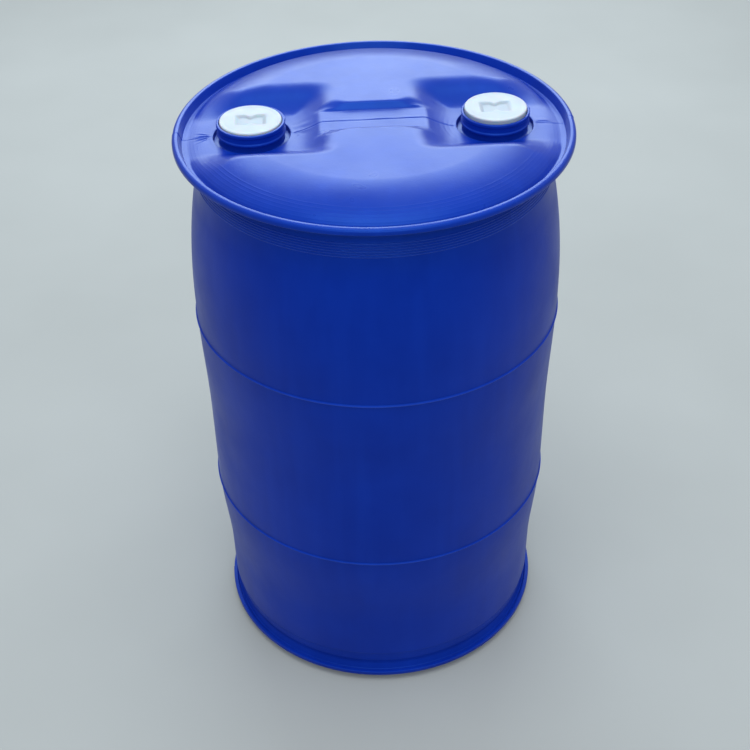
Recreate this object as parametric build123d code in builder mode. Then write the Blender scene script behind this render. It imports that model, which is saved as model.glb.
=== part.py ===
"""Tight-head plastic drum: a hollow moulded body with two threaded necks, each closed by a screw plug.

Millimetres, +Z up. The origin is the centre of the base on the floor. The necks stand on the X axis, in
the plane where the two mould halves meet. Each plug screws down on its own sealing ring.
"""
import os
from math import sqrt, tan, radians

from build123d import *

os.makedirs("parts", exist_ok=True)
upright = (Align.CENTER, Align.CENTER, Align.MIN)

# ---- driving dimensions ----
ring_radius = 290.5      # outside of the top ring
ring_top = 916.0         # lip of the top ring, above the floor
wall = 3.5               # wall of the barrel and head
neck_offset = 176.0      # drum axis to neck axis
thread_radius = 35.0     # crest of the plugs' outside thread
pitch = 6.0              # thread pitch, right-handed
running_gap = 0.3        # clearance between the inside and outside threads

# ---- heights on the head ----
crown_z = ring_top + 16
rim_z = ring_top + 13.5
saddle_z = ring_top + 7.5
pocket_z = ring_top - 8
groove_z = ring_top - 12
moat_z = ring_top - 15

# ---- barrel ----
foot_radius = ring_radius - 7      # rim of the bottom ring
foot_rim_z = (13.0, 22.5)          # underside and top of that rim
foot_groove = ring_radius - 22.5   # waist between the bottom ring and the band above it
foot_contact = foot_groove - 4     # outer edge of the flat ring the drum stands on
lower_radius = ring_radius - 15.3
hip_radius = ring_radius - 6.2
waist_radius = ring_radius - 7.7
belly_radius = ring_radius - 4.2
shoulder_radius = ring_radius - 36
shoulder_z = ring_top - 32
upper_bead_z = ring_top * 0.683
lower_bead_z = ring_top * 0.3255
bead_height = 1.6
bead_width = 5.0
band_z = (41.0, 64.0)    # the flared band above the waist
base_dish = 14.0         # how far the base is raised at its centre
base_land = 246.0        # inner edge of the flat ring
base_rise = 228.0        # where the raised middle of the base begins
base_wall = 5.0          # wall above the flat ring

ridge_size = 0.8         # half height of the fine moulded ridges
upper_ridges = 6
upper_ridge_z = ring_top - 58
upper_ridge_pitch = 3.5
lower_ridges = 7
lower_ridge_pitch = 3.1

# ---- head ----
crown_radius = 221.0     # flat part of the head
roll_radius = 60.0       # the roll from the crown down to the groove
groove_outer = ring_radius - 13.5
lip_inner = ring_radius - 9
pocket_slope = 56.0      # lean of the pockets' walls, degrees from vertical
saddle_slope = 30.0      # lean of the walls of the channel that joins the pockets
pocket_inner = 98.0      # drum axis to the pocket floors, along X
pocket_half = 74.0       # half length of the pocket floors, along Y
saddle_half = 32.0       # half width of the channel
pocket_corner = 12.0     # corners of the pocket floors, in plan
tongue_corner = 18.0     # corners where the channel opens into the pockets, in plan
floor_fillet = 14.0      # between the pockets' walls and their floors
crown_fillet = 6.0       # between the recess's walls and the crown

# ---- necks ----
collar_radius = 49.5
collar_bore = 45.7
collar_height = 16.0
neck_radius = 46.5
moat_radius = 55.6
seat_z = rim_z - 10      # the ledge that each sealing ring is pressed on
neck_foot_z = moat_z - 5
bore_radius = thread_radius - 2.1

# ---- closures ----
flange_radius = 45.0
plug_core = thread_radius - 2.4
thread_slack = 1.3       # thread pitch line to the upper flank, at the core
thread_base = 2.3        # thread pitch line to the lower flank, at the core
load_flank = 10.0        # lean of the thread's upper flank, degrees
rear_flank = 40.0        # lean of the thread's lower flank, degrees
thread_bite = 0.6        # how far a ridge is sunk into the cylinder it stands on
shank_length = 26.0
shank_bore = plug_core - 4.1
recess_floor_wall = 3.0  # plastic under each plug's recess
gasket_height = 3.5
gasket_inner = thread_radius + 1.5
gasket_outer = flange_radius - 1.5
flange_z = seat_z + gasket_height
recess_depth = 7.5       # bow-tie wrench recess in each plug's face
recess_length = 42.0
recess_width = 29.0
lobe_start = 11.0        # plug axis to where each lobe begins
waist_half = 8.0
filling_face_z = rim_z + 2
vent_face_z = rim_z + 5.5


def roll_height(radius, inset=0.0):
    """Height of the head's roll at a radius, on its outside or inset by a wall thickness."""
    return crown_z - roll_radius + sqrt((roll_radius - inset) ** 2 - (radius - crown_radius) ** 2)


def shoulder_at(z):
    """Radius at a height of the arc that draws the barrel in below the top ring."""
    start_z = upper_bead_z + bead_width
    drop = belly_radius - shoulder_radius
    arc = ((shoulder_z - start_z) ** 2 + drop ** 2) / (2 * drop)
    return belly_radius - arc + sqrt(arc ** 2 - (z - start_z) ** 2)


def bead_line(radius, z, height):
    """A raised bead across the barrel line, or a plain stretch where the height is zero."""
    low = (radius, z - bead_width / 2)
    high = (radius, z + bead_width / 2)
    if height:
        ThreePointArc(low, (radius + height, z), high)
    else:
        Line(low, high)


def barrel_line(inset, start_z, bead):
    """The barrel's side from the foot band up to the shoulder, inset from the outside."""
    straight_z = band_z[1] + 66
    shoulder_start = upper_bead_z + bead_width
    middle_z = (shoulder_start + shoulder_z) / 2
    Line((lower_radius - inset, start_z), (lower_radius - inset, straight_z))
    ThreePointArc(
        (lower_radius - inset, straight_z),
        (lower_radius + 3.6 - inset, (straight_z + lower_bead_z) / 2),
        (hip_radius - inset, lower_bead_z - bead_width / 2),
    )
    bead_line(hip_radius - inset, lower_bead_z, bead)
    ThreePointArc(
        (hip_radius - inset, lower_bead_z + bead_width / 2),
        (waist_radius - inset, (lower_bead_z + upper_bead_z) / 2),
        (belly_radius - inset, upper_bead_z - bead_width / 2),
    )
    bead_line(belly_radius - inset, upper_bead_z, bead)
    Line((belly_radius - inset, upper_bead_z + bead_width / 2), (belly_radius - inset, shoulder_start))
    ThreePointArc(
        (belly_radius - inset, shoulder_start),
        (shoulder_at(middle_z) - inset, middle_z),
        (shoulder_radius - inset, shoulder_z),
    )


def head_recess(inset):
    """Cutter for the H-shaped recess: two deep pockets joined by a shallower channel."""
    outer_x = ring_radius
    inner_x = pocket_inner - inset
    saddle_x = inner_x - (saddle_z - pocket_z) * tan(radians(pocket_slope))
    wing_width = 30.0
    with BuildPart() as cutter:
        with BuildSketch(Plane.XY.offset(pocket_z - inset)) as floor:
            for side in (-1, 1):
                with Locations((side * (inner_x + outer_x) / 2, 0)):
                    Rectangle(outer_x - inner_x, 2 * (pocket_half + inset))
            fillet(floor.vertices().filter_by(lambda corner: abs(corner.X) < outer_x / 2), pocket_corner)
        extrude(amount=crown_z - pocket_z + inset, taper=-pocket_slope)
        with BuildSketch(Plane.XY.offset(saddle_z - inset)) as channel:
            Rectangle(2 * saddle_x + wing_width, 2 * (saddle_half + inset))
            for side in (-1, 1):
                with Locations((side * (saddle_x + wing_width / 2), 0)):
                    Rectangle(wing_width, 2 * (pocket_half - pocket_corner))
            inside_corners = channel.vertices().filter_by(
                lambda corner: abs(corner.Y) < saddle_half + inset + 1 and abs(corner.X) < saddle_x + 1
            )
            fillet(inside_corners, tongue_corner)
        extrude(amount=crown_z - saddle_z + inset, taper=-saddle_slope)
        Cylinder(groove_outer - 2.5, 2 * ring_top, align=upright, mode=Mode.INTERSECT)
    return cutter.part


def level_edges(part, z):
    """Edges of the head recess that lie at one height."""
    flat = part.edges().filter_by_position(Axis.Z, z - 0.1, z + 0.1)
    return flat.filter_by(lambda edge: edge.length < 200 and abs(edge.center().X) < crown_radius - 20)


def rolled_edges(part):
    """The recess's edges where its walls run out through the head's roll."""
    return part.edges().filter_by(
        lambda edge: abs(edge.center().X) > crown_radius - 20
        and edge.bounding_box().max.Z > crown_z - 0.1
        and edge.bounding_box().min.Z < saddle_z
    )


def thread_ridge(root, crest, gap, low_z, turns):
    """Buttress thread ridge: a steep flank on top that carries the load, a sloping one below."""
    upper_root = thread_slack + gap - (root - plug_core) * tan(radians(load_flank))
    upper_crest = thread_slack + gap - (crest - plug_core) * tan(radians(load_flank))
    lower_root = -thread_base - gap + (root - plug_core) * tan(radians(rear_flank))
    lower_crest = -thread_base - gap + (crest - plug_core) * tan(radians(rear_flank))
    with BuildPart() as ridge:
        with BuildLine() as path:
            Helix(pitch, turns * pitch, plug_core, center=(0, 0, low_z))
        with BuildSketch(Plane.XZ):
            with BuildLine():
                Polyline(
                    (root, low_z + lower_root),
                    (crest, low_z + lower_crest),
                    (crest, low_z + upper_crest),
                    (root, low_z + upper_root),
                    close=True,
                )
            make_face()
        sweep(path=path.line, is_frenet=True)
    return ridge.part


# ---- drum body: outside of the moulding ----
outer_recess = head_recess(0)
with BuildPart() as shell:
    with BuildSketch(Plane.XZ):
        with BuildLine():
            roll_foot = crown_radius + sqrt(roll_radius ** 2 - (crown_z - roll_radius - groove_z) ** 2)
            roll_middle = (crown_radius + roll_foot) / 2
            Polyline(
                (0, base_dish),
                (base_rise, base_dish - 3),
                (base_land, 0),
                (foot_contact, 0),
                (foot_contact + 5, base_wall),
                (foot_radius - 2, foot_rim_z[0]),
                (foot_radius, foot_rim_z[0] + 2),
                (foot_radius, foot_rim_z[1] - 2),
                (foot_radius - 1.5, foot_rim_z[1] - 0.5),
                (foot_radius - 6, foot_rim_z[1]),
                (foot_radius - 8, foot_rim_z[1] - 3),
            )
            RadiusArc((foot_radius - 8, foot_rim_z[1] - 3), (foot_groove, band_z[0] - 5), 30)
            Polyline(
                (foot_groove, band_z[0] - 5),
                (foot_groove, band_z[0] - 1),
                (foot_groove + 3, band_z[0]),
                (foot_groove + 4.5, band_z[1] - 2),
                (lower_radius, band_z[1]),
            )
            barrel_line(0, band_z[1], bead_height)
            FilletPolyline(
                (shoulder_radius, shoulder_z),
                (shoulder_radius + 2, ring_top - 26),
                (ring_radius, ring_top - 8.5),
                (ring_radius, ring_top),
                (lip_inner, ring_top),
                (groove_outer, groove_z),
                (roll_foot, groove_z),
                radius=[6, 3, 3, 2.5, 1.5],
            )
            ThreePointArc(
                (roll_foot, groove_z), (roll_middle, roll_height(roll_middle)), (crown_radius, crown_z)
            )
            Polyline((crown_radius, crown_z), (0, crown_z), (0, base_dish))
        make_face()
    revolve(axis=Axis.Z)
    add(outer_recess, mode=Mode.SUBTRACT)
    fillet(level_edges(shell.part, pocket_z), floor_fillet)
    fillet(level_edges(shell.part, crown_z) + rolled_edges(shell.part), crown_fillet)

# ---- drum body: fine moulded ridges under the top ring and on the foot band ----
with BuildPart() as ridges:
    with BuildSketch(Plane.XZ):
        for index in range(upper_ridges):
            height = upper_ridge_z + index * upper_ridge_pitch
            with Locations((shoulder_at(height), height)):
                Circle(ridge_size)
        for index in range(lower_ridges):
            height = band_z[0] + (index + 0.7) * lower_ridge_pitch
            rise = 1.5 * (height - band_z[0]) / (band_z[1] - 2 - band_z[0])
            with Locations((foot_groove + 3 + rise, height)):
                Circle(ridge_size)
    revolve(axis=Axis.Z)

# ---- drum body: the hollow inside ----
inner_recess = head_recess(wall)
with BuildPart() as cavity:
    with BuildSketch(Plane.XZ):
        with BuildLine():
            roll_end = roll_foot - 4
            Polyline(
                (0, base_dish + wall + 1),
                (base_rise - 2, base_dish + 1.5),
                (base_land, base_wall),
                (foot_groove - 6, base_wall),
                (foot_groove - wall, base_wall + 3),
                (foot_groove - wall, band_z[0] - 4),
                (foot_groove, band_z[0] + 2),
                (foot_groove + 1.5, band_z[1]),
                (lower_radius - wall, band_z[1] + 6),
            )
            barrel_line(wall, band_z[1] + 6, 0)
            Polyline(
                (shoulder_radius - wall, shoulder_z),
                (shoulder_radius - 0.5, ring_top - 25),
                (foot_groove - 5, ring_top - 18),
                (roll_end, roll_height(roll_end, wall)),
            )
            ThreePointArc(
                (roll_end, roll_height(roll_end, wall)),
                (roll_middle, roll_height(roll_middle, wall)),
                (crown_radius, crown_z - wall),
            )
            Polyline((crown_radius, crown_z - wall), (0, crown_z - wall), (0, base_dish + wall + 1))
        make_face()
    revolve(axis=Axis.Z)
    add(inner_recess, mode=Mode.SUBTRACT)
    with Locations((-neck_offset, 0, moat_z - wall), (neck_offset, 0, moat_z - wall)):
        Cylinder(moat_radius + wall, crown_z, align=upright, mode=Mode.SUBTRACT)

# ---- drum body: one threaded neck, on its own axis ----
neck_thread = thread_ridge(
    bore_radius - thread_bite, thread_radius + running_gap, running_gap, neck_foot_z - 2, 5
)
with BuildPart() as neck:
    with Locations((0, 0, neck_foot_z)):
        Cylinder(neck_radius, seat_z - neck_foot_z, align=upright)
        Cylinder(bore_radius, seat_z - neck_foot_z, align=upright, mode=Mode.SUBTRACT)
    add(neck_thread, mode=Mode.SUBTRACT)
    with BuildSketch(Plane.XZ):
        with BuildLine():
            Polyline(
                (neck_radius - 3, rim_z - collar_height - 1.5),
                (neck_radius, rim_z - collar_height - 1.5),
                (collar_radius, rim_z - collar_height),
                (collar_radius, rim_z - collar_height + 2),
                (collar_radius - 1, rim_z - collar_height + 3),
                (collar_radius - 1, rim_z - 5),
                (collar_radius, rim_z - 4),
                (collar_radius, rim_z - 1.5),
            )
            RadiusArc((collar_radius, rim_z - 1.5), (collar_radius - 1.5, rim_z), -1.5)
            Polyline(
                (collar_radius - 1.5, rim_z),
                (collar_bore + 0.8, rim_z),
                (collar_bore, rim_z - 0.8),
                (collar_bore, seat_z),
                (neck_radius - 3, seat_z),
                (neck_radius - 3, rim_z - collar_height - 1.5),
            )
        make_face()
    revolve(axis=Axis.Z)

# ---- drum body: the finished moulding ----
with BuildPart() as drum_body:
    add(shell.part)
    add(ridges.part)
    add(cavity.part, mode=Mode.SUBTRACT)
    with Locations((-neck_offset, 0, moat_z), (neck_offset, 0, moat_z)):
        Cylinder(moat_radius, crown_z, align=upright, mode=Mode.SUBTRACT)
    with Locations((-neck_offset, 0, neck_foot_z), (neck_offset, 0, neck_foot_z)):
        Cylinder(neck_radius - 1, crown_z, align=upright, mode=Mode.SUBTRACT)
    with Locations((-neck_offset, 0, 0), (neck_offset, 0, 0)):
        add(neck.part)
drum_body.part.label = "drum_body"
export_step(drum_body.part, "parts/drum_body.step")


# ---- screw plugs ----
plug_thread = thread_ridge(plug_core - thread_bite, thread_radius, 0, neck_foot_z + 4, 3)


def screw_plug(face_z):
    """A cup-shaped plug: a disc with a bow-tie wrench recess over a hollow threaded shank."""
    recess_floor = face_z - recess_depth
    with BuildPart() as plug:
        with Locations((0, 0, flange_z)):
            Cylinder(flange_radius, face_z - flange_z, align=upright)
        fillet(plug.edges().group_by(Axis.Z)[-1], 1.5)
        chamfer(plug.edges().group_by(Axis.Z)[0], 0.6)
        with Locations((0, 0, flange_z - shank_length)):
            Cylinder(plug_core, shank_length, align=upright)
            cup_depth = shank_length + recess_floor - recess_floor_wall - flange_z
            Cylinder(shank_bore, cup_depth, align=upright, mode=Mode.SUBTRACT)
        chamfer(plug.edges().group_by(Axis.Z)[0], 0.8)
        add(plug_thread)
        with BuildSketch(Plane.XY.offset(face_z)) as bow_tie:
            with BuildLine():
                Line((recess_length / 2, -recess_width / 2), (recess_length / 2, recess_width / 2))
                Line((recess_length / 2, recess_width / 2), (lobe_start, recess_width / 2))
                ThreePointArc(
                    (lobe_start, recess_width / 2), (0, waist_half), (-lobe_start, recess_width / 2)
                )
                Line((-lobe_start, recess_width / 2), (-recess_length / 2, recess_width / 2))
                Line((-recess_length / 2, recess_width / 2), (-recess_length / 2, -recess_width / 2))
                Line((-recess_length / 2, -recess_width / 2), (-lobe_start, -recess_width / 2))
                ThreePointArc(
                    (-lobe_start, -recess_width / 2), (0, -waist_half), (lobe_start, -recess_width / 2)
                )
                Line((lobe_start, -recess_width / 2), (recess_length / 2, -recess_width / 2))
            make_face()
            fillet(bow_tie.vertices(), 2.5)
        extrude(amount=-recess_depth, mode=Mode.SUBTRACT)
    return plug.part


with BuildPart() as filling_plug:
    with Locations((-neck_offset, 0, 0)):
        add(screw_plug(filling_face_z))
filling_plug.part.label = "filling_plug"
export_step(filling_plug.part, "parts/filling_plug.step")

with BuildPart() as vent_plug:
    with Locations((neck_offset, 0, 0)):
        add(screw_plug(vent_face_z))
vent_plug.part.label = "vent_plug"
export_step(vent_plug.part, "parts/vent_plug.step")


# ---- sealing rings ----
def sealing_ring(centre_x):
    """Flat elastomer ring with rounded corners, squeezed between a plug's flange and its neck."""
    with BuildPart() as ring:
        with BuildSketch(Plane.XZ) as section:
            with Locations(((gasket_inner + gasket_outer) / 2, seat_z + gasket_height / 2)):
                Rectangle(gasket_outer - gasket_inner, gasket_height)
            fillet(section.vertices(), 0.8)
        revolve(axis=Axis.Z)
    with BuildPart() as placed:
        with Locations((centre_x, 0, 0)):
            add(ring.part)
    return placed.part


filling_plug_gasket = sealing_ring(-neck_offset)
filling_plug_gasket.label = "filling_plug_gasket"
export_step(filling_plug_gasket, "parts/filling_plug_gasket.step")

vent_plug_gasket = sealing_ring(neck_offset)
vent_plug_gasket.label = "vent_plug_gasket"
export_step(vent_plug_gasket, "parts/vent_plug_gasket.step")
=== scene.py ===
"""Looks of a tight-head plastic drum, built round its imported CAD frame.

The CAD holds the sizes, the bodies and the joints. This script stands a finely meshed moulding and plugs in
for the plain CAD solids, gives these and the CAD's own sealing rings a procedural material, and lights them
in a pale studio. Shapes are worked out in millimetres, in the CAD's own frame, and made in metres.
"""
import math

import bmesh
import bpy
import numpy as np
from mathutils import Matrix, Vector
from mathutils.geometry import delaunay_2d_cdt


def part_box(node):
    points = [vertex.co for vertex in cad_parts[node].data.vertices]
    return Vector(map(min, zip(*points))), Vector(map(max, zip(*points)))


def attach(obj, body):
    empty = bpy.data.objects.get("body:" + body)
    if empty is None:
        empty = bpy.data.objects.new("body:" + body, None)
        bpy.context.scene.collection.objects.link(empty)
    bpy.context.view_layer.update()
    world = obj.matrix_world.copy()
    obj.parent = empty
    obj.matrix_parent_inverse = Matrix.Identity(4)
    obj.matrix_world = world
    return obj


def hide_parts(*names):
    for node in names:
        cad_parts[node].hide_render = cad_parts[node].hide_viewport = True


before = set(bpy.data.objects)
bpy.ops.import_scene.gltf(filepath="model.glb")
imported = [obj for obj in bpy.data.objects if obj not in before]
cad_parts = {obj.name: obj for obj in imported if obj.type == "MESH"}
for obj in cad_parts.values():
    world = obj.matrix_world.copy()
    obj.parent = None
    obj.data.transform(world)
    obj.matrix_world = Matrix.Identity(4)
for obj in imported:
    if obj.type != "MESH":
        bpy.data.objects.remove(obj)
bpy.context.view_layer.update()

MM = 0.001

# ---- sizes taken from the frame, millimetres ----
body_box = [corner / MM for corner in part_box("drum_body")]
filling_box = [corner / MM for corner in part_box("filling_plug")]
vent_box = [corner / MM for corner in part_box("vent_plug")]
gasket_box = [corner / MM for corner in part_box("filling_plug_gasket")]

ring_radius = body_box[1].x
crown_z = body_box[1].z
ring_top = crown_z - 16
neck_offset = (vent_box[0].x + vent_box[1].x) / 2
flange_radius = (vent_box[1].x - vent_box[0].x) / 2
filling_face_z = filling_box[1].z
vent_face_z = vent_box[1].z
rim_z = filling_face_z - 2
seat_z = gasket_box[0].z
flange_z = gasket_box[1].z

# ---- heights on the head ----
saddle_z = ring_top + 7.5
pocket_z = ring_top - 8
groove_z = ring_top - 12
moat_z = ring_top - 15
neck_foot_z = moat_z - 5

# ---- barrel ----
foot_radius = ring_radius - 7
foot_groove = ring_radius - 22.5
foot_top_z = 22.4        # top of the bottom ring's rim
lower_radius = ring_radius - 15.3
hip_radius = ring_radius - 6.2
waist_radius = ring_radius - 7.7
belly_radius = ring_radius - 4.2
shoulder_radius = ring_radius - 36
shoulder_z = ring_top - 32
upper_bead_z = ring_top * 0.683
lower_bead_z = ring_top * 0.3255
straight_z = 140.0       # the barrel is straight below this
bead_height, bead_width = 2.2, 4.6
fine_rings, fine_ring_pitch = 6, 3.5
fine_ring_z = ring_top - 58
fine_ring_height, fine_ring_width = 1.1, 2.4
band_low, band_high = 41.3, 63.0
band_rings, band_ring_pitch = 7, 3.0
band_ring_height, band_ring_width = 0.45, 2.2
base_dish = 14.0
wall = 3.5
inner_rim = (264.0, ring_top - 18.5)  # where the barrel's inside meets the head's

# ---- head ----
roll_start = 188.0       # radius where the crown starts to roll down
roll_end = 273.2         # radius where the roll is upright, just below the groove's floor
roll_dip = 6.0           # how far the roll's curve runs on below the groove's floor
roll_foot = roll_end + 1.8  # where the outlines of the side and of the head meet
groove_outer = ring_radius - 13.5
lip_inner = ring_radius - 9
pocket_floor_x = 118.0   # drum axis to the flat of each pocket, along X
pocket_crown_x = 62.0    # drum axis to the top of the pockets' inner walls
pocket_floor_y = 52.0    # half length of the flat of each pocket, along Y
pocket_crown_y = 101.0   # half length of the pockets at their tops
saddle_half = 31.5       # half width of the channel that joins the pockets
saddle_step = 3.0        # height of the steep foot of the channel's walls
head_rings = (243.5, 249.0, 254.0, 259.0, 264.0, 267.3)  # fine mould rings on the roll
head_ring_height, head_ring_width = 0.17, 1.9
fan_offset = 233.0       # drum axis to the wrinkles between each neck and the ring
sheet_radius = 241.0     # the head is a free mesh inside this radius and rings of quads outside it
seam_rows = (-4.2, -3, -2, -1.2, -0.5, 0, 0.5, 1.2, 2, 3, 4.2)  # mesh rows along the parting line
skin = 4.5               # height from the outside of the head to its inside

# ---- necks ----
collar_radius = 49.5
collar_bore = 45.7
neck_radius = 46.5
moat_radius = 55.6
moat_edge = 58.8         # where the moat's rounded edge meets the pocket floor
bore_radius = 32.9
thread_root = 35.4
pitch = 6.0
thread_start = neck_foot_z + 4  # height of the thread's middle at angle 0
load_flank, rear_flank = math.radians(14), math.radians(40)
groove_above, groove_below = 1.9, 2.9  # half heights of the groove at the bore
under_edge = 62.0        # where the neck's underside meets the inside of the head

# ---- plugs ----
plug_core = 32.6
thread_crest = 35.0
thread_flank = math.radians(10)
thread_above, thread_below = 1.3, 2.3  # half heights of the thread at the core
cup_radius = 28.5        # the hollow inside each plug's shank
shank_foot_z = filling_box[0].z
face_flat = 42.5         # radius inside which a plug's face is a free mesh
recess_half = 22.5       # half length of the bow-tie recess
lobe_half = 16.0         # half width of its lobes
waist_half = 10.5        # half width of its waist
waist_length = 18.0
recess_depth = 2.6
cup_roof = 11.0          # from a plug's face to the roof of the hollow below it


# ---------------------------------------------------------------- curves
def smooth_step(low, high, value):
    share = np.clip((value - low) / (high - low), 0, 1)
    return share * share * (3 - 2 * share)


def smooth_min(a, b, blend):
    """The lower of two heights, rounded over where they are within blend of each other."""
    near = np.maximum(blend - np.abs(a - b), 0) / blend
    return np.minimum(a, b) - near * near * blend / 4


def smooth_max(a, b, blend):
    return -smooth_min(-a, -b, blend)


def bump(value, centre, width):
    """A raised cosine: 1 at the centre, 0 from half the width outwards."""
    share = np.clip(np.abs(value - centre) / (width / 2), 0, 1)
    return (1 + np.cos(np.pi * share)) / 2


def rounded(corners, step=math.radians(14)):
    """Points of an outline through (radius, height, fillet) corners, with each fillet drawn as an arc."""
    points = []
    for index, (radius, height, fillet) in enumerate(corners):
        here = np.array((radius, height))
        if fillet == 0:
            points.append(here)
            continue
        before = np.array(corners[index - 1][:2]) - here
        after = np.array(corners[index + 1][:2]) - here
        before = before / np.linalg.norm(before)
        after = after / np.linalg.norm(after)
        half = math.acos(np.clip(before @ after, -1, 1)) / 2
        middle = (before + after) / np.linalg.norm(before + after)
        centre = here + middle * fillet / math.sin(half)
        start = here + before * fillet / math.tan(half) - centre
        sweep = math.pi - 2 * half
        if before[0] * after[1] - before[1] * after[0] > 0:
            sweep = -sweep
        count = max(2, math.ceil(abs(sweep) / step))
        for turn in np.linspace(0, sweep, count + 1):
            spin = np.array(((math.cos(turn), -math.sin(turn)), (math.sin(turn), math.cos(turn))))
            points.append(centre + spin @ start)
    return np.array(points)


def stretch(start, end, step):
    """Evenly spaced values from start up to, but not including, end."""
    return np.linspace(start, end, max(1, round(abs(end - start) / step)), endpoint=False)


# ---------------------------------------------------------------- the moulding's shape
def barrel_radius(z):
    """Radius of the barrel's outside at a height, with its beads and fine rings."""
    middle_z = (lower_bead_z + upper_bead_z) / 2
    radius = lower_radius + (hip_radius - lower_radius) * smooth_step(straight_z, lower_bead_z, z)
    radius += (waist_radius - hip_radius) * smooth_step(lower_bead_z, middle_z, z)
    radius += (belly_radius - waist_radius) * smooth_step(middle_z, upper_bead_z, z)
    share = np.clip((z - upper_bead_z - 8) / (shoulder_z - upper_bead_z - 8), 0, 1)
    radius -= (belly_radius - shoulder_radius) * share ** 2.3
    for bead_z in (lower_bead_z, upper_bead_z):
        radius += bead_height * bump(z, bead_z, bead_width)
    for index in range(fine_rings):
        radius += fine_ring_height * bump(z, fine_ring_z + index * fine_ring_pitch, fine_ring_width)
    return radius


def band_radius(z):
    """Radius of the flared band above the foot, with its fine rings."""
    radius = foot_groove + 3 + 1.5 * (z - band_low) / (band_high - band_low)
    for index in range(band_rings):
        ring_z = band_low + (index + 0.7) * band_ring_pitch
        radius += band_ring_height * bump(z, ring_z, band_ring_width)
    return radius


def crown_height(radius):
    """The head without its recess: a level disc that rolls down to the groove."""
    share = np.clip((radius - roll_start) / (roll_end - roll_start), 0, 1)
    return crown_z - (crown_z - groove_z + roll_dip) * (1 - np.sqrt(1 - share ** 1.5))


def pocket_height(x, y):
    """The two pockets, open towards the ring: soft walls that climb ever more steeply from a flat floor."""
    across = np.maximum((pocket_floor_x - np.abs(x)) / (pocket_floor_x - pocket_crown_x), 0) ** 1.5
    length = (pocket_crown_y - pocket_floor_y) * (1 + 0.5 * smooth_step(190, 255, np.abs(x)))
    along = np.maximum((np.abs(y) - pocket_floor_y) / length, 0) ** 1.4
    return pocket_z + (crown_z - pocket_z) * (across ** 3 + along ** 3) ** (1 / 3)


def channel_height(y):
    """The shallower channel that joins the pockets: a steep foot, a narrow ledge, then a slope."""
    aside = np.abs(y) - saddle_half
    slope = smooth_max((aside - 2.8) * 1.15, 0 * aside, 1.2)
    return saddle_z + saddle_step * smooth_step(0, 1.5, aside) + slope


def parting_line(x, y):
    """The mould's parting line along the X axis: a fine wavering ridge between two shallow furrows."""
    wander = 0.5 * np.sin(x / 23) + 0.35 * np.sin(x / 9 + 1)
    return (
        0.32 * bump(y, wander, 1.6)
        - 0.25 * bump(y, wander - 1.9, 2.2)
        + 0.16 * bump(y, wander + 2.6, 2.4)
    )


def pinch_fan(x, y):
    """Skin pinched into a fan of wrinkles between the left neck and the ring."""
    start_x = 4 - fan_offset
    out = np.hypot(x + fan_offset, y)
    turn = np.arctan2(y + 1.5, start_x - x)
    reach = smooth_step(1, 8, out) * (1 - smooth_step(16, 32, out))
    spread = 1 - smooth_step(0.45, 0.75, np.abs(turn))
    return np.where(x < start_x, 0.55 * reach * spread * np.cos(turn * 17 + out / 9), 0)


def crease(x, y):
    """A fold in the skin between the right neck and the ring."""
    aside = y - 1.5 - 2.2 * np.sin((x - fan_offset - 1) / 9)
    along = x - fan_offset
    reach = smooth_step(0, 5, along) * (1 - smooth_step(17, 29, along))
    fade = 1 - smooth_step(3, 12, np.abs(aside))
    return 0.8 * reach * fade * (smooth_step(-0.9, 0.9, aside) - 0.5)


def neck_ripples(x, y):
    """Shallow ripples beside each neck, on its side towards the drum's axis."""
    out = np.hypot(x - neck_offset, y)
    turn = np.arctan2(y, neck_offset - x)
    reach = smooth_step(58, 66, out) * (1 - smooth_step(72, 92, out))
    spread = 1 - smooth_step(0.2, 0.75, np.abs(turn + 0.25))
    right = 0.22 * reach * spread * np.cos((out - 58) * 2 * np.pi / 6.5)
    out = np.hypot(x + neck_offset, y)
    turn = np.arctan2(y, x + neck_offset)
    reach = smooth_step(58, 64, out) * (1 - smooth_step(74, 96, out))
    spread = 1 - smooth_step(0.1, 0.4, np.abs(turn - 0.1))
    left = 0.28 * reach * spread * np.cos(turn * 26 + out / 11)
    speck = 0.9 * np.exp(-((x + 109) ** 2 + (y + 9) ** 2) / 2.2)
    return right + left + speck


def seam_height(x, y):
    """Everything that the parting of the mould leaves on the head."""
    return parting_line(x, y) + pinch_fan(x, y) + crease(x, y) + neck_ripples(x, y)


def head_height(x, y):
    """Height of the outside of the head."""
    radius = np.hypot(x, y)
    crown = crown_height(radius)
    for ring in head_rings:
        crown = crown + head_ring_height * bump(radius, ring, head_ring_width)
    height = smooth_min(crown, pocket_height(x, y), 9.0 + 12 * smooth_step(185, 240, np.abs(x)))
    flare = smooth_step(saddle_half - 4, saddle_half + 10, np.abs(y)) * smooth_step(30, 62, np.abs(x))
    height = smooth_min(height, channel_height(y), 2.5 + 14 * flare) + seam_height(x, y)
    return smooth_max(height, 0 * height + groove_z, 2.5)


def neck_distance(x, y):
    """Distance from the axis of the nearer neck."""
    return np.minimum(np.hypot(x - neck_offset, y), np.hypot(x + neck_offset, y))


def head_height_level(x, y):
    """The head's height, brought level with the pocket floor at the edge of each moat."""
    share = smooth_step(moat_edge + 0.3, moat_edge + 3.5, neck_distance(x, y))
    return pocket_z + (head_height(x, y) - pocket_z) * share


def under_height(x, y):
    """Height of the inside of the head, level where it meets the underside of each neck."""
    share = smooth_step(under_edge + 0.5, under_edge + 4, neck_distance(x, y))
    return pocket_z - skin + (head_height(x, y) - pocket_z) * share


def mould_shift(points):
    """The two mould halves meet slightly out of line, which leaves a fine step where they part."""
    x, y, z = points.T
    half = smooth_step(-0.5, 0.5, y) * smooth_step(neck_radius, neck_radius + 1.5, neck_distance(x, y))
    return points + np.stack((0.45 * half, 0 * half, 0.3 * half * z / ring_top), axis=1)


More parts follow.
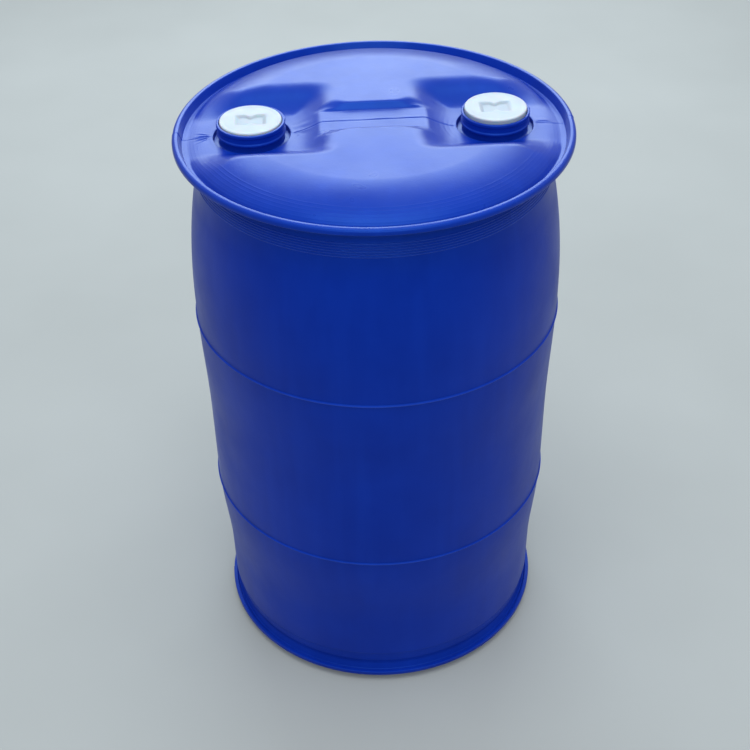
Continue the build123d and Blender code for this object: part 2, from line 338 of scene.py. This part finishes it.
# ---------------------------------------------------------------- mesh building
class Surface:
    """Vertices and faces gathered from patches, welded where the patches meet."""

    def __init__(self):
        self.points = []
        self.faces = []
        self.count = 0

    def add(self, points, faces):
        self.points.append(np.asarray(points, float))
        self.faces.extend((np.asarray(faces) + self.count).tolist())
        self.count += len(points)

    def add_rows(self, rows):
        """Quads between closed rows of points, an array of rows x columns x 3."""
        count, columns = rows.shape[:2]
        row, column = np.meshgrid(np.arange(count - 1), np.arange(columns), indexing="ij")
        following = (column + 1) % columns
        quads = np.stack(
            (
                row * columns + column,
                row * columns + following,
                (row + 1) * columns + following,
                (row + 1) * columns + column,
            ),
            axis=-1,
        )
        self.add(rows.reshape(-1, 3), quads.reshape(-1, 4))

    def make(self, name, shape=None):
        points = np.concatenate(self.points)
        if shape:
            points = shape(points)
        mesh = bpy.data.meshes.new(name)
        mesh.from_pydata((points * MM).tolist(), [], self.faces)
        made = bpy.data.objects.new(name, mesh)
        bpy.context.scene.collection.objects.link(made)
        weld(mesh)
        return made


def weld(mesh):
    """Joins patches along their shared borders and turns every face outwards."""
    work = bmesh.new()
    work.from_mesh(mesh)
    bmesh.ops.remove_doubles(work, verts=work.verts, dist=0.004 * MM)
    bmesh.ops.recalc_face_normals(work, faces=work.faces)
    for face in work.faces:
        face.smooth = True
    work.to_mesh(mesh)
    work.free()


def revolve(outline, angles, centre_x=0.0):
    """Rows of points from an outline of (radius, height) pairs turned about a vertical axis."""
    outline = np.asarray(outline)
    rows = np.empty((len(outline), len(angles), 3))
    rows[..., 0] = centre_x + outline[:, :1] * np.cos(angles)
    rows[..., 1] = outline[:, :1] * np.sin(angles)
    rows[..., 2] = outline[:, 1:]
    return rows


def circle(radius, angles, centre_x=0.0):
    return np.stack((centre_x + radius * np.cos(angles), radius * np.sin(angles)), axis=1)


def lattice(radius, spacing):
    """Points of a triangular lattice inside a circle."""
    row_gap = spacing * math.sqrt(3) / 2
    points = []
    for index, y in enumerate(np.arange(-radius, radius, row_gap)):
        shift = spacing / 2 * (index % 2)
        xs = np.arange(-radius + shift, radius, spacing)
        points.append(np.stack((xs, np.full_like(xs, y)), axis=1))
    points = np.concatenate(points)
    return points[np.hypot(*points.T) < radius - spacing * 0.7]


def head_sheet(surface, height, outer_angles, hole_radius, hole_angles, spacing, seam):
    """A triangulated disc with a round hole at each neck, lifted to the height function."""
    loops = [circle(sheet_radius, outer_angles)]
    loops += [circle(hole_radius, hole_angles, side * neck_offset) for side in (-1, 1)]
    inside = lattice(sheet_radius, spacing)
    rows = []
    if seam:
        xs = np.arange(-sheet_radius + 3, sheet_radius - 3, 2.2)
        for y in seam_rows:
            rows.append(np.stack((xs, np.full_like(xs, y)), axis=1))
        inside = inside[np.abs(inside[:, 1]) > seam_rows[-1] + spacing / 2]
        for side in (-1, 1):
            for step in (1.2, 2.8, 4.8, 7.0, 9.4, 12.0):
                ring = circle(hole_radius + step, hole_angles, side * neck_offset)
                rows.append(ring[(np.abs(ring[:, 1]) > 5.2) & (np.hypot(*ring.T) < sheet_radius - 1.2)])
    clear = 13.5 if seam else spacing * 0.6
    for side in (-1, 1):
        inside = inside[np.hypot(inside[:, 0] - side * neck_offset, inside[:, 1]) > hole_radius + clear]
        rows = [
            row[np.hypot(row[:, 0] - side * neck_offset, row[:, 1]) > hole_radius + 0.8] for row in rows
        ]
    flat = np.concatenate(loops + rows + [inside])
    edges = []
    start = 0
    for loop in loops:
        numbers = np.arange(len(loop)) + start
        edges += np.stack((numbers, np.roll(numbers, -1)), axis=1).tolist()
        start += len(loop)
    made = delaunay_2d_cdt([Vector(point) for point in flat], edges, [], 0, 1e-7)
    points = np.array([tuple(point) for point in made[0]])
    faces = np.array(made[2])
    middles = points[faces].mean(axis=1)
    kept = np.hypot(*middles.T) < sheet_radius
    for side in (-1, 1):
        kept &= np.hypot(middles[:, 0] - side * neck_offset, middles[:, 1]) > hole_radius * 0.9995
    surface.add(np.column_stack((points, height(*points.T))), faces[kept])


def side_angles():
    """Columns round the drum: even, and much closer together by the parting line on each side."""
    even = np.arange(0, 360, 1.25)
    close = np.arange(-5.0, 5.01, 0.25)
    fine = np.array((-0.15, -0.08, 0.08, 0.15))
    angles = np.concatenate((even, close % 360, close + 180, fine % 360, fine + 180))
    return np.radians(np.unique(np.round(angles, 4)))


def polar_rows(radii, angles, height):
    """Rings of points about the drum's axis, lifted to the height function."""
    rows = revolve(np.stack((radii, 0 * radii), axis=1), angles)
    rows[..., 2] = height(rows[..., 0], rows[..., 1])
    return rows


def flash(rows):
    """A thin ridge of flash down the parting line on the side of the moulding."""
    size = 0.3 * bump(rows[..., 1], 0, 2.2) * smooth_step(2, 12, rows[..., 2])
    out = np.hypot(rows[..., 0], rows[..., 1])
    steep = smooth_step(lower_radius - 60, lower_radius - 20, out)
    rows[..., 0] += np.sign(rows[..., 0]) * size * steep
    return rows


# ---------------------------------------------------------------- the moulding's outlines
def side_outline():
    """Outside of the drum from the middle of its base, up the barrel and over the top ring."""
    foot = rounded(
        [
            (0, base_dish, 0),
            (60, base_dish - 0.2, 0),
            (150, base_dish - 1.0, 6),
            (154, base_dish - 3.0, 4),
            (224, base_dish - 4.5, 12),
            (243, 0.0, 4),
            (foot_groove - 4, 0, 2.5),
            (foot_groove + 2, 6.0, 5.0),
            (foot_radius - 1.0, 13.5, 1.2),
            (foot_radius, 15.4, 1.2),
            (foot_radius - 0.2, foot_top_z - 0.2, 1.5),
            (foot_radius - 6.6, foot_top_z, 0.9),
            (foot_radius - 8.4, foot_top_z - 3.4, 1.4),
            (foot_groove + 4.6, foot_top_z - 1.6, 3.0),
            (foot_groove + 0.4, foot_top_z + 8.0, 8.0),
            (foot_groove, band_low - 2.2, 1.4),
            (foot_groove + 3, band_low - 0.7, 0.6),
            (foot_groove + 3, band_low, 0),
        ]
    )
    band_z = stretch(band_low + 0.5, band_high, 0.55)
    band = np.stack((band_radius(band_z), band_z), axis=1)
    heights = np.concatenate(
        (
            [band_high + 0.6, band_high + 1.4, band_high + 3.0],
            stretch(band_high + 7, lower_bead_z - 3, 12),
            stretch(lower_bead_z - 3, lower_bead_z + 3, 0.5),
            stretch(lower_bead_z + 3, upper_bead_z - 3, 14),
            stretch(upper_bead_z - 3, upper_bead_z + 3, 0.5),
            stretch(upper_bead_z + 3, ring_top - 60, 10),
            stretch(ring_top - 60, ring_top - 38, 0.4),
            [ring_top - 38],
            [ring_top - 35],
        )
    )
    barrel = np.stack((barrel_radius(heights), heights), axis=1)
    ring = rounded(
        [
            (shoulder_radius, shoulder_z, 0),
            (shoulder_radius + 0.8, ring_top - 26.5, 4.0),
            (ring_radius - 5, ring_top - 10.6, 2.5),
            (ring_radius, ring_top - 8.7, 1.3),
            (ring_radius - 0.3, ring_top, 5.6),
            (lip_inner, ring_top, 2.4),
            (groove_outer, groove_z, 1.9),
            (roll_foot, groove_z, 0),
        ],
        math.radians(10),
    )
    return np.concatenate((foot, band, barrel, ring))


def inside_outline():
    """Inside of the drum from the middle of its base up to the rim of the head."""
    heights = np.concatenate((stretch(band_high + 8, shoulder_z, 16), [shoulder_z]))
    smooth_barrel = np.stack((barrel_radius(heights) - wall, heights), axis=1)
    foot = rounded(
        [
            (0, base_dish + 4.5, 0),
            (222, base_dish + 1.5, 10),
            (243, 5, 4),
            (foot_groove - 6, 5, 2),
            (foot_groove - 3.5, 9, 2),
            (foot_groove - 3.5, band_low - 4, 2),
            (foot_groove, band_low + 3, 3),
            (foot_groove + 1.5, band_high, 0),
        ]
    )
    top = rounded(
        [
            (shoulder_radius - 3, shoulder_z + 2, 0),
            (shoulder_radius - 0.5, ring_top - 24, 3),
            (*inner_rim, 0),
        ]
    )
    return np.concatenate((foot, smooth_barrel, top))


def thread_radius(z, angle):
    """Radius of the neck's threaded bore: a buttress groove that climbs one pitch a turn."""
    centre = thread_start + pitch * angle / (2 * np.pi)
    offset = (z - centre + pitch / 2) % pitch - pitch / 2
    below = bore_radius + (offset + groove_below) / math.tan(rear_flank)
    above = bore_radius + (groove_above - offset) / math.tan(load_flank)
    return np.clip(np.minimum(below, above), bore_radius, thread_root)


def neck_rows(angles):
    """Rows of one neck about its own axis: out of the moat, over the collar, down the threaded bore and
    back out under the moat."""
    outside = rounded(
        [
            (moat_edge, pocket_z, 0),
            (moat_radius, pocket_z, 1.6),
            (moat_radius - 0.3, moat_z, 2.2),
            (neck_radius, moat_z, 2.5),
            (neck_radius, rim_z - 17.6, 0.7),
            (collar_radius + 0.2, rim_z - 16.4, 0.7),
            (collar_radius + 0.2, rim_z - 14.0, 0.8),
            (collar_radius - 1.2, rim_z - 12.6, 1.0),
            (collar_radius - 1.2, rim_z - 5.6, 1.0),
            (collar_radius, rim_z - 4.4, 0.8),
            (collar_radius, rim_z, 1.5),
            (collar_bore, rim_z, 0.8),
            (collar_bore, seat_z, 0.4),
            (thread_root + 0.8, seat_z, 0.6),
            (thread_root + 0.1, seat_z - 0.9, 0),
        ],
        math.radians(15),
    )
    bore_z = np.arange(seat_z - 1.2, neck_foot_z + 1.0, -0.5)
    bore = revolve(np.stack((0 * bore_z, bore_z), axis=1), angles)
    radius = thread_radius(bore_z[:, None], angles[None, :])
    entry = smooth_step(seat_z - 2.5, seat_z - 1.0, bore_z)[:, None]
    foot = smooth_step(neck_foot_z + 3.0, neck_foot_z + 1.2, bore_z)[:, None]
    radius = radius + (thread_root - radius) * entry
    radius = radius + (bore_radius - radius) * foot
    bore[..., 0] = radius * np.cos(angles)
    bore[..., 1] = radius * np.sin(angles)
    under = rounded(
        [
            (bore_radius, neck_foot_z + 0.8, 0),
            (bore_radius + 0.8, neck_foot_z, 0),
            (neck_radius, neck_foot_z, 0.7),
            (neck_radius, moat_z - wall, 0.5),
            (moat_radius + wall, moat_z - wall, 2.0),
            (moat_radius + wall, pocket_z - skin, 1.0),
            (under_edge, pocket_z - skin, 0),
        ]
    )
    return np.concatenate((revolve(outside, angles), bore, revolve(under, angles)))


def build_body():
    """The whole moulding as one closed surface, outside and inside, joined through the two necks."""
    surface = Surface()
    angles = side_angles()
    surface.add_rows(flash(revolve(side_outline(), angles)))
    radii = np.concatenate(
        (
            [roll_foot, roll_end + 1.0, roll_end + 0.4],
            stretch(roll_end, 271, 0.22),
            stretch(271, 266, 0.5),
            stretch(266, sheet_radius, 0.7),
            [sheet_radius],
        )
    )
    surface.add_rows(polar_rows(radii, angles, head_height))
    hole_angles = np.radians(np.arange(0, 360, 2.5))
    head_sheet(surface, head_height_level, angles, moat_edge, hole_angles, 2.7, True)

    inner_angles = np.radians(np.arange(0, 360, 3.0))
    surface.add_rows(revolve(inside_outline(), inner_angles))
    inner_radii = np.array((inner_rim[0], 262, 258, 252, 246, sheet_radius))
    inner = polar_rows(inner_radii, inner_angles, lambda x, y: head_height(x, y) - skin)
    foot = revolve(np.array((inner_rim,)), inner_angles)
    surface.add_rows(np.concatenate((foot, inner)))
    head_sheet(surface, under_height, inner_angles, under_edge, hole_angles, 7.0, False)
    neck = neck_rows(hole_angles)
    for side in (-1, 1):
        placed = neck.copy()
        placed[..., 0] += side * neck_offset
        surface.add_rows(placed)
    return surface.make("drum_moulding", mould_shift)


# ---------------------------------------------------------------- the plugs
def plug_side_rows(face_z, angles):
    """Rows of a plug from the edge of its face, over its flange and down its threaded shank to its cup."""
    flange = rounded(
        [
            (face_flat, face_z, 0),
            (flange_radius, face_z, 1.9),
            (flange_radius, flange_z, 0.6),
            (plug_core, flange_z, 0.8),
            (plug_core, flange_z - 1.2, 0),
        ],
        math.radians(15),
    )
    foot_z = shank_foot_z + 0.9
    shank_z = np.arange(flange_z - 1.5, foot_z, -0.3)
    shank = revolve(np.stack((0 * shank_z, shank_z), axis=1), angles)
    radius = plug_thread_radius(shank_z[:, None], angles[None, :])
    shank[..., 0] = radius * np.cos(angles)
    shank[..., 1] = radius * np.sin(angles)
    cup = rounded(
        [
            (plug_core, foot_z, 0),
            (plug_core, shank_foot_z, 0.8),
            (cup_radius, shank_foot_z, 0.8),
            (cup_radius, face_z - cup_roof, 2.5),
            (12, face_z - cup_roof, 0),
            (0, face_z - cup_roof, 0),
        ]
    )
    return np.concatenate((revolve(flange, angles), shank, revolve(cup, angles)))


def plug_thread_radius(z, angle):
    """Radius of a plug's shank: three turns of buttress thread, in step with the groove in the neck."""
    turns = (z - thread_start - pitch * angle / (2 * np.pi)) / pitch
    offset = (turns - np.round(turns)) * pitch
    below = (offset + thread_below) / math.tan(rear_flank)
    above = (thread_above - offset) / math.tan(thread_flank)
    run = np.round(turns) + angle / (2 * np.pi)
    run_out = smooth_step(0.0, 0.08, run) * (1 - smooth_step(2.92, 3.0, run)) * (np.round(turns) >= 0)
    return plug_core + np.clip(np.minimum(below, above), 0, thread_crest - plug_core) * run_out


def face_height(x, y):
    """A plug's face, measured from its top: a shallow dish with a soft-edged bow-tie recess."""
    half_width = waist_half + (lobe_half - waist_half) * (1 - bump(x, 0, waist_length))
    inside = smooth_min(recess_half - np.abs(x), half_width - np.abs(y), 3.0)
    rim = smooth_step(face_flat, face_flat - 5, np.hypot(x, y))
    return -recess_depth * smooth_step(-1.5, 6.0, inside) - 0.5 * rim


def build_plug(name, centre_x, face_z):
    """One plug as a closed surface, with its face as a free mesh inside the flange's rounded edge."""
    surface = Surface()
    angles = np.radians(np.arange(0, 360, 2.5))
    surface.add_rows(plug_side_rows(face_z, angles))
    rim = circle(face_flat, angles)
    flat = np.concatenate((rim, lattice(face_flat, 1.1)))
    made = delaunay_2d_cdt([Vector(point) for point in flat], [], [], 0, 1e-7)
    points = np.array([tuple(point) for point in made[0]])
    surface.add(np.column_stack((points, face_z + face_height(*points.T))), made[2])
    return surface.make(name, lambda placed: placed + np.array((centre_x, 0, 0)))


# ---------------------------------------------------------------- materials
class Nodes:
    """A material's node tree with short calls for the nodes used here."""

    def __init__(self, name):
        self.material = bpy.data.materials.new(name)
        self.material.use_nodes = True
        self.tree = self.material.node_tree
        self.shader = self.tree.nodes["Principled BSDF"]
        self.place = self.tree.nodes.new("ShaderNodeTexCoord").outputs["Object"]

    def link(self, source, target):
        self.tree.links.new(source, target)

    def noise(self, scale, detail=2.0, roughness=0.5, place=None):
        node = self.tree.nodes.new("ShaderNodeTexNoise")
        node.inputs["Scale"].default_value = scale
        node.inputs["Detail"].default_value = detail
        node.inputs["Roughness"].default_value = roughness
        self.link(place or self.place, node.inputs["Vector"])
        return node.outputs["Fac"]

    def stretched(self, factors):
        node = self.tree.nodes.new("ShaderNodeMapping")
        node.inputs["Scale"].default_value = factors
        self.link(self.place, node.inputs["Vector"])
        return node.outputs["Vector"]

    def ranged(self, value, low, high, to_low=0.0, to_high=1.0):
        node = self.tree.nodes.new("ShaderNodeMapRange")
        node.inputs["From Min"].default_value = low
        node.inputs["From Max"].default_value = high
        node.inputs["To Min"].default_value = to_low
        node.inputs["To Max"].default_value = to_high
        self.link(value, node.inputs["Value"])
        return node.outputs["Result"]

    def math(self, operation, first, second):
        node = self.tree.nodes.new("ShaderNodeMath")
        node.operation = operation
        for socket, value in zip(node.inputs, (first, second)):
            if isinstance(value, (int, float)):
                socket.default_value = value
            else:
                self.link(value, socket)
        return node.outputs["Value"]

    def mix(self, share, first, second):
        node = self.tree.nodes.new("ShaderNodeMix")
        node.data_type = "RGBA"
        for socket, value in ((node.inputs[6], first), (node.inputs[7], second), (node.inputs[0], share)):
            if isinstance(value, tuple):
                socket.default_value = (*value, 1.0)
            elif isinstance(value, (int, float)):
                socket.default_value = value
            else:
                self.link(value, socket)
        return node.outputs[2]

    def bump(self, height, distance, strength=1.0):
        node = self.tree.nodes.new("ShaderNodeBump")
        node.inputs["Distance"].default_value = distance
        node.inputs["Strength"].default_value = strength
        self.link(height, node.inputs["Height"])
        self.link(node.outputs["Normal"], self.shader.inputs["Normal"])

    def set(self, **values):
        for name, value in values.items():
            self.shader.inputs[name.replace("_", " ")].default_value = value


def hdpe_blue():
    """Blow-moulded polyethylene: deep blue and satin, duller on the barrel than on the head, with flow
    mottling, a fine skin, a painted highlight on every convex crest and edge, and light handling scuffs."""
    nodes = Nodes("drum_hdpe_blue")
    mottle = nodes.ranged(nodes.noise(7.0, 3.0, 0.6), 0.35, 0.65)
    colour = nodes.mix(mottle, (0.0020, 0.0200, 0.275), (0.0026, 0.0245, 0.315))
    flow = nodes.ranged(nodes.noise(5.0, 2.0, 0.5, nodes.stretched((9.0, 9.0, 0.6))), 0.45, 0.75, 0.0, 0.25)
    colour = nodes.mix(flow, colour, (0.0045, 0.0360, 0.390))
    scuff_place = nodes.stretched((18.0, 18.0, 160.0))
    scuffs = nodes.ranged(nodes.noise(3.0, 4.0, 0.7, scuff_place), 0.72, 0.84, 0.0, 0.06)
    colour = nodes.mix(scuffs, colour, (0.045, 0.090, 0.420))
    # Painted highlight: convex crests and edges (rings, beads, lips, rims) are mixed to a lighter blue so
    # they read as catching light.
    crest_highlight = nodes.tree.nodes.new("ShaderNodeNewGeometry").outputs["Pointiness"]
    colour = nodes.mix(nodes.ranged(crest_highlight, 0.512, 0.56, 0.0, 0.5), colour, (0.040, 0.085, 0.480))
    nodes.link(colour, nodes.shader.inputs["Base Color"])
    grain = nodes.noise(420.0, 2.0, 0.5)
    patches = nodes.ranged(nodes.noise(11.0, 3.0, 0.6), 0.3, 0.7, 0.27, 0.36)
    height = nodes.tree.nodes.new("ShaderNodeSeparateXYZ")
    nodes.link(nodes.place, height.inputs["Vector"])
    barrel = nodes.ranged(height.outputs["Z"], (ring_top - 62) * MM, (ring_top - 90) * MM)
    patches = nodes.math("ADD", patches, nodes.math("MULTIPLY", barrel, 0.10))
    roughness = nodes.math("ADD", patches, nodes.math("MULTIPLY", scuffs, 0.4))
    nodes.link(roughness, nodes.shader.inputs["Roughness"])
    nodes.link(nodes.ranged(barrel, 0.0, 1.0, 0.5, 0.3), nodes.shader.inputs["Specular IOR Level"])
    nodes.bump(nodes.math("ADD", grain, nodes.math("MULTIPLY", nodes.noise(45.0, 2.0), 1.6)), 0.00012, 0.6)
    nodes.set(IOR=1.5, Specular_Tint=(0.12, 0.40, 1.0, 1.0))
    return nodes.material


def plug_white(name, face_z):
    """Injection-moulded polypropylene: milky white, with painted shade greying it below the face, and a
    fine skin.
    """
    nodes = Nodes(name + "_white")
    tone = nodes.ranged(nodes.noise(28.0, 3.0, 0.6), 0.3, 0.7)
    colour = nodes.mix(tone, (0.375, 0.415, 0.475), (0.400, 0.440, 0.500))
    height = nodes.tree.nodes.new("ShaderNodeSeparateXYZ")
    nodes.link(nodes.place, height.inputs["Vector"])
    # Painted shade: the white greys from 1 mm below the face down to the recess floor and stays grey lower
    # down, over the recess and the flange's side and shank alike.
    recess_shade = nodes.ranged(height.outputs["Z"], (face_z - 1.0) * MM, (face_z - recess_depth) * MM)
    colour = nodes.mix(recess_shade, colour, (0.325, 0.365, 0.430))
    nodes.link(colour, nodes.shader.inputs["Base Color"])
    nodes.link(nodes.ranged(nodes.noise(60.0, 3.0), 0.3, 0.7, 0.38, 0.52), nodes.shader.inputs["Roughness"])
    nodes.bump(nodes.noise(900.0, 2.0), 0.00008, 0.6)
    nodes.set(IOR=1.49, Subsurface_Weight=0.5, Subsurface_Scale=0.006)
    return nodes.material


def gasket_rubber():
    """Moulded elastomer: near black with a dry bloom."""
    nodes = Nodes("gasket_rubber_dark")
    bloom = nodes.ranged(nodes.noise(90.0, 4.0, 0.65), 0.45, 0.7, 0.0, 0.5)
    colour = nodes.mix(bloom, (0.012, 0.012, 0.013), (0.045, 0.045, 0.048))
    nodes.link(colour, nodes.shader.inputs["Base Color"])
    nodes.link(nodes.ranged(nodes.noise(200.0, 2.0), 0.3, 0.7, 0.62, 0.8), nodes.shader.inputs["Roughness"])
    nodes.bump(nodes.noise(1500.0, 2.0), 0.00006, 0.7)
    return nodes.material


def floor_pale():
    nodes = Nodes("floor_pale")
    tone = nodes.ranged(nodes.noise(1.6, 3.0), 0.3, 0.7)
    nodes.link(nodes.mix(tone, (0.36, 0.36, 0.35), (0.39, 0.39, 0.38)), nodes.shader.inputs["Base Color"])
    nodes.set(Roughness=0.8, Specular_IOR_Level=0.2)
    return nodes.material


# ---------------------------------------------------------------- pieces
body = build_body()
body.data.materials.append(hdpe_blue())
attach(body, "drum")
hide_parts("drum_body")

for node_name, rider, centre_x, face_z in (
    ("filling_plug", "filling_closure", -neck_offset, filling_face_z),
    ("vent_plug", "vent_closure", neck_offset, vent_face_z),
):
    plug = build_plug(node_name + "_moulding", centre_x, face_z)
    plug.data.materials.append(plug_white(node_name, face_z))
    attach(plug, rider)
    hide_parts(node_name)

gasket_material = gasket_rubber()
for node_name in ("filling_plug_gasket", "vent_plug_gasket"):
    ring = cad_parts[node_name]
    ring.data.materials.clear()
    ring.data.materials.append(gasket_material)


# ---------------------------------------------------------------- studio
def make_floor():
    half = 14.0
    corners = [(-half, -half, 0), (half, -half, 0), (half, half, 0), (-half, half, 0)]
    mesh = bpy.data.meshes.new("floor")
    mesh.from_pydata(corners, [], [(0, 1, 2, 3)])
    mesh.materials.append(floor_pale())
    floor = bpy.data.objects.new("floor", mesh)
    bpy.context.scene.collection.objects.link(floor)


def soft_light(name, place, target, size, power, colour=(1.0, 1.0, 1.0)):
    """A rectangular softbox at a place, facing a target."""
    lamp = bpy.data.lights.new(name, "AREA")
    lamp.shape = "RECTANGLE"
    lamp.size, lamp.size_y = size
    lamp.energy = power
    lamp.color = colour
    made = bpy.data.objects.new(name, lamp)
    bpy.context.scene.collection.objects.link(made)
    made.location = place
    made.visible_camera = False
    made.rotation_euler = (Vector(target) - Vector(place)).to_track_quat("-Z", "Y").to_euler()


def sky(horizon, zenith, colour):
    """Even light from all round that grows from the horizon up to the zenith."""
    world = bpy.data.worlds.new("studio")
    world.use_nodes = True
    tree = world.node_tree
    background = tree.nodes["Background"]
    background.inputs["Color"].default_value = (*colour, 1.0)
    place = tree.nodes.new("ShaderNodeTexCoord")
    split = tree.nodes.new("ShaderNodeSeparateXYZ")
    ramp = tree.nodes.new("ShaderNodeMapRange")
    ramp.inputs["To Min"].default_value = horizon
    ramp.inputs["To Max"].default_value = zenith
    tree.links.new(place.outputs["Generated"], split.inputs["Vector"])
    tree.links.new(split.outputs["Z"], ramp.inputs["Value"])
    tree.links.new(ramp.outputs["Result"], background.inputs["Strength"])
    bpy.context.scene.world = world


def make_camera():
    """The camera of the reference view: high in front of the drum, with the lens shifted upwards."""
    place = Vector((-0.0889, -1.7013, 1.7628))
    yaw, pitch_down, roll = math.radians(2.12), math.radians(44.10), math.radians(-1.59)
    forward = Vector(
        (math.sin(yaw) * math.cos(pitch_down), math.cos(yaw) * math.cos(pitch_down), -math.sin(pitch_down))
    )
    level = Vector((math.cos(yaw), -math.sin(yaw), 0))
    upright = level.cross(forward)
    right = level * math.cos(roll) + upright * math.sin(roll)
    up = upright * math.cos(roll) - level * math.sin(roll)
    lens = bpy.data.cameras.new("camera")
    lens.sensor_width = 36.0
    lens.lens = 60.384
    camera = bpy.data.objects.new("camera", lens)
    bpy.context.scene.collection.objects.link(camera)
    camera.matrix_world = Matrix((right, up, -forward)).transposed().to_4x4()
    camera.location = place
    for name, amount in (("shift_x", 0.0113), ("shift_y", 0.2001)):
        shift_here_only(camera, lens, name, amount, place.z)
    bpy.context.scene.camera = camera


def shift_here_only(camera, lens, name, amount, height):
    """Drives a lens shift that holds only at the reference view, so that other views stay centred."""
    driver = lens.driver_add(name).driver
    variable = driver.variables.new()
    variable.name = "height"
    variable.type = "TRANSFORMS"
    variable.targets[0].id = camera
    variable.targets[0].transform_type = "LOC_Z"
    driver.expression = f"{amount} if abs(height - {height:.4f}) < 0.0005 else 0.0"


make_floor()
sky(0.24, 1.3, (0.86, 0.95, 1.0))
soft_light("sky_back", (0.1, 3.0, 2.65), (0, 0, 0.93), (2.6, 2.3), 82, (0.78, 0.92, 1.0))
soft_light("sky_top", (0, -0.7, 4.2), (0, 0, 0.80), (2.4, 2.0), 45, (0.86, 0.95, 1.0))
soft_light("sky_front", (0, -3.2, 2.9), (0, 0, 0.70), (2.8, 0.7), 34, (0.90, 0.96, 1.0))
make_camera()
bpy.context.scene.view_settings.view_transform = "Standard"
